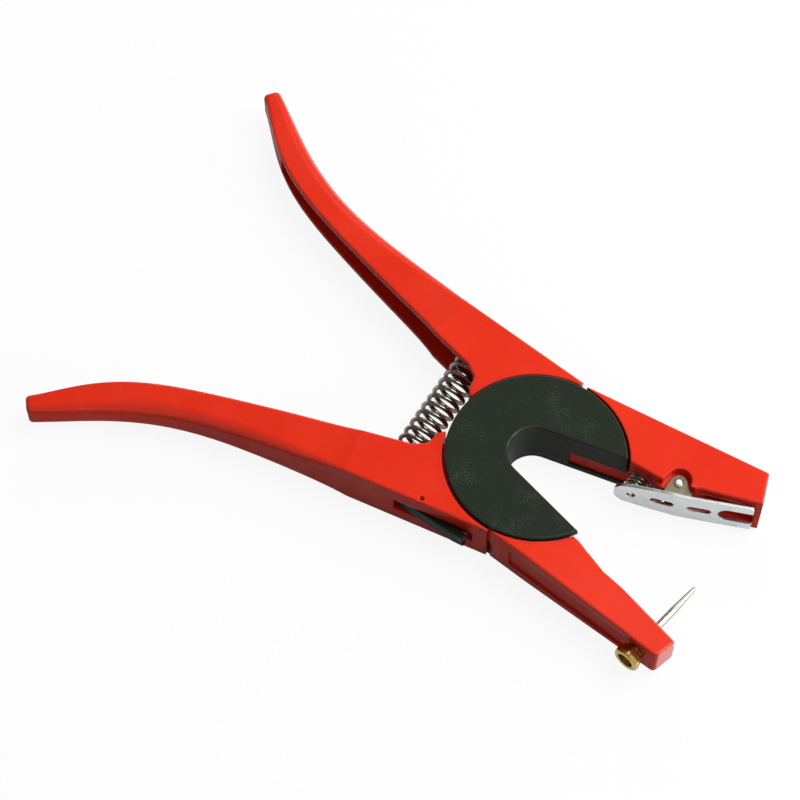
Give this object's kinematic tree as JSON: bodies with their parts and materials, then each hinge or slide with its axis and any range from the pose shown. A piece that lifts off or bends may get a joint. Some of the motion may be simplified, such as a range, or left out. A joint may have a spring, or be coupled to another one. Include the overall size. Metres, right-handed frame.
{
  "type": "ear tag applicator",
  "caption": "Hand-squeezed plier that drives a two-piece livestock ear tag: crossing cast levers, open round throat, tapered pin on one jaw and a sprung fork clip on the other.",
  "frame": {"origin": "on the main pivot axis at mid thickness, in the middle of the round inner end of the throat", "axes": "+X towards the jaws, +Y towards the clip jaw and the pin lever's handle, +Z out of the front cover along the main pivot axis"},
  "size_m": [0.2595, 0.1722, 0.0242],
  "materials": {
    "red_casting": "gloss",
    "black_moulding": "satin",
    "bright_steel": "bright",
    "pressed_steel": "satin",
    "brass": "polished"
  },
  "bodies": {
    "clip_side": {"clip_lever": "red_casting", "front_cover": "black_moulding", "rear_cover": "black_moulding", "handle_spring": "bright_steel", "clip_spring": "bright_steel", "clip_pivot_pin": "pressed_steel", "keeper_pivot_pin": "pressed_steel"},
    "pin_side": {"pin_lever": "red_casting", "tag_pin": "bright_steel", "pin_nut": "brass"},
    "tag_clip": {"clip_plate": "pressed_steel", "clip_saddle": "pressed_steel"},
    "pin_keeper": {"spare_pin_keeper": "black_moulding", "spare_pin": "bright_steel"}
  },
  "joints": [
    {"name": "handle_squeeze", "type": "hinge", "parent": "clip_side", "child": "pin_side", "pos_m": [0, 0, 0], "axis": [0, 0, 1], "range_deg": [0, 27.5], "stiffness_Nm_per_rad": 3.5, "springref_deg": -14.32, "deforming": ["handle_spring"]},
    {"name": "clip_press", "type": "hinge", "parent": "clip_side", "child": "tag_clip", "pos_m": [0.05, 0.0204, 0], "axis": [0, 0, -1], "range_deg": [0, 11], "stiffness_Nm_per_rad": 0.25, "springref_deg": -17.19, "deforming": ["clip_spring"]},
    {"name": "keeper_swing", "type": "hinge", "parent": "clip_side", "child": "pin_keeper", "pos_m": [-0.0269, -0.0377, 0], "axis": [0, 0, -1], "range_deg": [0, 26]}
  ]
}
